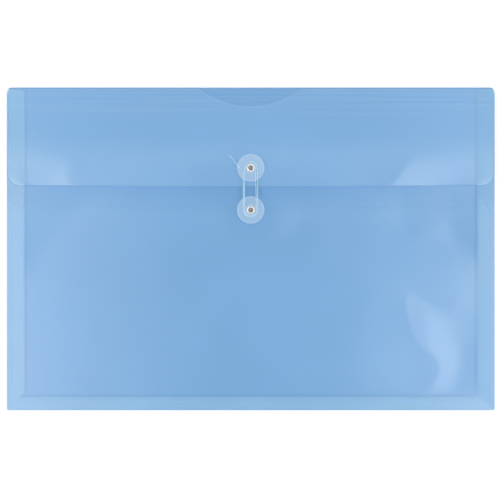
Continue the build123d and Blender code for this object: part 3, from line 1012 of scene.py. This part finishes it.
class ENVELOPE_OT_pleats(EnvelopePiece, bpy.types.Operator):
    """Fold the pleats of the two sides and the bottom, and seal their outer edges"""

    bl_idname = "envelope.pleats"
    bl_label = "Pleats and seals"
    side_wide, bottom_wide = 13.0 * mm, 10.2 * mm
    nose_room, nose_long, nose_bend, bow = 0.45 * mm, 2.2 * mm, 0.2 * mm, 0.12 * mm
    fold_line = 0.5
    bead_wide, lap = 1.0 * mm, 0.2 * mm
    tick_step = 1.7 * mm
    upright_tick, level_tick = (0.42 * mm, 0.3 * mm, 0.03 * mm), (0.3 * mm, 0.336 * mm, 0.03 * mm)

    def execute(self, context):
        settings = context.scene.envelope_film
        deep, haze, right_shaded_haze = settings.crease_blue, settings.haze_blue, settings.right_shaded_blue
        # The pleats are one film; the right one is painted a darker blue than the left and bottom, painted
        # shade for the light on that side
        for side, blue, cover, gloss, line_cover, under_flap, at_seal in (
            # the sixth value paints the side pleats paler under the flap: painted light against its shade
            ("left", haze, settings.left_pleat_cover, 0.4, 0.40, 1.6, 1.0),
            ("right", right_shaded_haze, settings.right_pleat_cover, 0.16, 0.50, 1.6, 1.4),
            ("bottom", haze, settings.bottom_pleat_cover, 0.4, 0.50, 1.0, 1.5),
        ):
            # Each pleat's inner fold gets a dark line 0.5 mm wide: partly deeper film, partly painted shade
            # in the crease
            finish = film_finish(f"film_{side}_pleat", tuple(blue), cover, gloss, tuple(deep), line_cover,
                                 self.fold_line, under_flap=under_flap, at_seal=at_seal)
            for face in ("back", "front"):
                self.leaf(side, face, finish)
        self.seals(plain_film("film_seal_bead", tuple(deep), cover=0.65, gloss=0.32))
        self.ticks(plain_film("film_seal_tick", tuple(haze), cover=0.35, gloss=0.32))
        return {"FINISHED"}

    def leaf(self, side, face, finish):
        """One leaf of a pleat, from its seal to the soft nose of the fold."""
        width = self.bottom_wide if side == "bottom" else self.side_wide
        slope = math.asin((pocket_middle - leaf_back_z - self.nose_room) / width)
        shares = [0, 0.01, 0.03, 0.05] + [i / 14 for i in range(1, 11)]
        shares += [0.77, 0.83, 0.88, 0.92, 0.95, 0.975, 1.0]
        runs = [i / 90 for i in range(91)]
        piece, across, along = film_grid(f"{side}_{face}_pleat_film", shares, runs)
        u, v = np.array(shares)[across] * width, np.array(runs)[along]
        nose = ease(u, width - self.nose_long, width) * self.nose_bend
        raised = nose - self.bow * np.sin(math.pi * u / width)
        out = u * math.cos(slope) - raised * math.sin(slope)
        up = u * math.sin(slope) + raised * math.cos(slope)
        if side == "bottom":
            reach = half_width - foot_corner - u
            x, y = -reach + 2 * reach * v, bottom_leaf_y + out
        else:
            foot, head = bottom_edge + foot_corner + u, panel_top - 0.3 * mm - corner_inset(u, 3.0 * mm)
            x, y = left_leaf_x + out, foot + (head - foot) * v
            x = x if side == "left" else -x
        z = leaf_back_z + up if face == "back" else leaf_front_z - up
        set_points(piece, x, y, z, width - u)
        thicken(piece, [finish])
        node = f"{side}_gusset_{face}_leaf"
        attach(piece, node)
        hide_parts(node)

    def bar(self, low, high):
        """A bar between two corners."""
        start_clean()
        size = [b - a for a, b in zip(low, high)]
        bpy.ops.mesh.primitive_cube_add(size=1, location=[(a + b) / 2 for a, b in zip(low, high)], scale=size)
        bpy.ops.object.transform_apply(location=True, rotation=True, scale=True)
        return bpy.context.object

    def sealed(self, name, bars, finish, body):
        """Bars joined as one seal, which moves with its panel."""
        start_clean()
        for bar in bars:
            bar.select_set(True)
        bpy.context.view_layer.objects.active = bars[0]
        bpy.ops.object.join()
        piece = named(name)
        keep_edge(piece, far_away)
        piece.data.materials.append(finish)
        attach(piece, body)

    def seals(self, finish):
        """The sealed edge of each panel: a bead round three sides."""
        thick = self.bead_wide
        head, foot = panel_top - 4 * mm, bottom_edge + foot_corner
        wide = half_width - 0.9 * mm
        front, back = (leaf_front_z - self.lap, front_low.z), (film, leaf_back_z + self.lap)
        for face, (low_z, high_z) in (("front", front), ("back", back)):
            left = self.bar((-half_width, foot, low_z), (thick - half_width, head, high_z))
            right = self.bar((half_width - thick, foot, low_z), (half_width, head, high_z))
            low = self.bar((-wide, bottom_edge, low_z), (wide, bottom_edge + thick, high_z))
            self.sealed(face + "_seal_bead", [left, right, low], finish, face)

    def ticks(self, finish):
        """The rows of sealing ticks on the front."""
        up, along = (0, self.tick_step, 0), (self.tick_step, 0, 0)
        for name, x, y, half, step, count in (
            ("left_seal_ticks", -0.1807, -0.1195, self.upright_tick, up, 98),
            ("right_seal_ticks", 0.1807, -0.1195, self.upright_tick, up, 98),
            ("bottom_seal_ticks", -0.178, -0.1200, self.level_tick, along, 210),
        ):
            start = (x, y, front_high.z)
            tick = self.bar([s - h for s, h in zip(start, half)], [s + h for s, h in zip(start, half)])
            applied(tick, "BEVEL", width=0.02 * mm, segments=1)
            applied(tick, "ARRAY", count=count, use_relative_offset=False, use_constant_offset=True,
                    constant_offset_displace=step)
            self.sealed(name, [tick], finish, "front")


class ENVELOPE_OT_buttons(EnvelopePiece, bpy.types.Operator):
    """Turn the two frosted discs that the string winds round"""

    bl_idname = "envelope.buttons"
    bl_label = "Buttons"

    def execute(self, context):
        settings = context.scene.envelope_fittings
        material = self.finish(settings)
        for place, y in hubs:
            body = place + "_button"
            low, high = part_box(body)
            levels = {"foot": low.z, "under": low.z + 1.9 * mm, "rim": high.z, "face": high.z - 0.15 * mm}
            piece = lathe(place + "_disc", section(disc_section, **levels), y, settings.segments)
            points = points_of(piece)
            keep_edge(piece, high.x - np.hypot(points[:, 0], points[:, 1] - y))
            piece.data.materials.append(material)
            smooth(piece, 35)
            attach(piece, body)
            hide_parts(body)
        return {"FINISHED"}

    def finish(self, settings):
        """Frosted plastic: milky, paler at its rim, with the faint speckle of a mould."""
        made, tree, shader, coordinates = new_material("frosted_disc")
        speckle = noise(tree, coordinates, scale=900.0, detail=3.0)
        frost = tuple(settings.button_frost)
        rim_white, rim_wide, rim_cover = (0.72, 0.84, 0.96), 1.2, 0.42
        boss_edge, boss_cover, shadow_share = (5.2, 6.4), 0.10, 0.4
        body = mixed(tree, ranged(tree, speckle, noise_middle), shade(frost, 0.96), shade(frost, 1.04))
        distance = edge_distance(tree)
        rim = placed(tree, cut_edge(), Distance=distance, Width=rim_wide)["Mask"]
        boss = ranged(tree, distance, boss_edge, (0.0, boss_cover))
        covered = combined(tree, "ADD", ranged(tree, rim, whole, (settings.button_cover, rim_cover)), boss)
        shadow = add(tree, "LightPath").outputs["Is Shadow Ray"]
        kept = ranged(tree, shadow, whole, (1.0, shadow_share))
        fill(tree, shader, Base_Color=mixed(tree, rim, body, rim_white), IOR=1.5,
             Alpha=combined(tree, "MULTIPLY", covered, kept),
             Roughness=ranged(tree, speckle, noise_middle, (0.34, 0.48)))
        bumped(tree, shader, speckle, 0.02 * mm)
        return made


class ENVELOPE_OT_eyelets(EnvelopePiece, bpy.types.Operator):
    """Turn the two plated eyelets and finish their backing washers"""

    bl_idname = "envelope.eyelets"
    bl_label = "Eyelets and washers"

    def execute(self, context):
        settings = context.scene.envelope_fittings
        plated = self.metal("plated_metal", tuple(settings.eyelet_metal), 0.40)
        # The dark cup in each eyelet's hole is painted shade, standing in for the hole's depth
        shaded = self.metal("dull_metal", tuple(settings.hole_shade_colour), 0.60)
        for body, y in hubs:
            low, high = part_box(body + "_eyelet")
            rivet = section(eyelet_section, foot=low.z, flange=high.z - 0.5 * mm, top=high.z)
            web = section(cup_section, web=high.z - 1.9 * mm)
            piece = lathe(body + "_rivet", rivet, y, settings.segments)
            cup = lathe(body + "_rivet_cup", web, y, settings.segments)
            for part, metal in ((piece, plated), (cup, shaded)):
                part.data.materials.append(metal)
                smooth(part, 40)
                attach(part, body)
            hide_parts(body + "_eyelet")
        washer = self.washer()
        for node in ("flap_backing_washer", "front_backing_washer"):
            frame["nodes"][node].material_slots[0].material = washer
        return {"FINISHED"}

    def metal(self, name, tone, rough):
        """Plated metal with a faint grain."""
        made, tree, shader, coordinates = new_material(name)
        grain = noise(tree, coordinates, scale=1400.0, detail=3.0)
        fill(tree, shader, Base_Color=mixed(tree, ranged(tree, grain, noise_middle), shade(tone, 0.94), tone),
             Roughness=ranged(tree, grain, noise_middle, (rough, rough + 0.12)), Metallic=1.0)
        bumped(tree, shader, grain, 0.01 * mm)
        return made

    def washer(self):
        """Clear plastic washers."""
        made, tree, shader, coordinates = new_material("clear_washer")
        speckle = noise(tree, coordinates, scale=700.0, detail=2.0)
        milky, milkier = (0.58, 0.72, 0.88), (0.64, 0.78, 0.92)
        fill(tree, shader, Base_Color=mixed(tree, speckle, milky, milkier), Alpha=0.35,
             Roughness=ranged(tree, speckle, noise_wide, (0.32, 0.44)))
        return made


class ENVELOPE_PT_pieces(bpy.types.Panel):
    """The envelope's pieces and settings"""

    bl_idname = "ENVELOPE_PT_pieces"
    bl_label = "String tie envelope"
    bl_space_type = "VIEW_3D"
    bl_region_type = "UI"
    bl_category = "Envelope"

    def draw(self, context):
        layout = self.layout
        for operator in operators:
            layout.operator(operator.bl_idname)
        for name in groups:
            box = layout.box()
            group = getattr(context.scene, name)
            for prop in group.__annotations__:
                box.prop(group, prop)


operators = (
    ENVELOPE_OT_stage,
    ENVELOPE_OT_string,
    ENVELOPE_OT_panels,
    ENVELOPE_OT_flap,
    ENVELOPE_OT_pleats,
    ENVELOPE_OT_buttons,
    ENVELOPE_OT_eyelets,
)
groups = {
    "envelope_film": EnvelopeFilm,
    "envelope_fittings": EnvelopeFittings,
    "envelope_string": EnvelopeString,
    "envelope_stage": EnvelopeStage,
}


def register():
    for name, group in groups.items():
        bpy.utils.register_class(group)
        setattr(bpy.types.Scene, name, PointerProperty(type=group))
    for operator in operators:
        bpy.utils.register_class(operator)
    bpy.utils.register_class(ENVELOPE_PT_pieces)


def unregister():
    bpy.utils.unregister_class(ENVELOPE_PT_pieces)
    for operator in reversed(operators):
        bpy.utils.unregister_class(operator)
    for name, group in groups.items():
        delattr(bpy.types.Scene, name)
        bpy.utils.unregister_class(group)


def main():
    """Makes every piece in order."""
    register()
    bpy.ops.envelope.stage()
    bpy.ops.envelope.string()
    bpy.ops.envelope.panels()
    bpy.ops.envelope.flap()
    bpy.ops.envelope.pleats()
    bpy.ops.envelope.buttons()
    bpy.ops.envelope.eyelets()


if __name__ == "__main__":
    main()
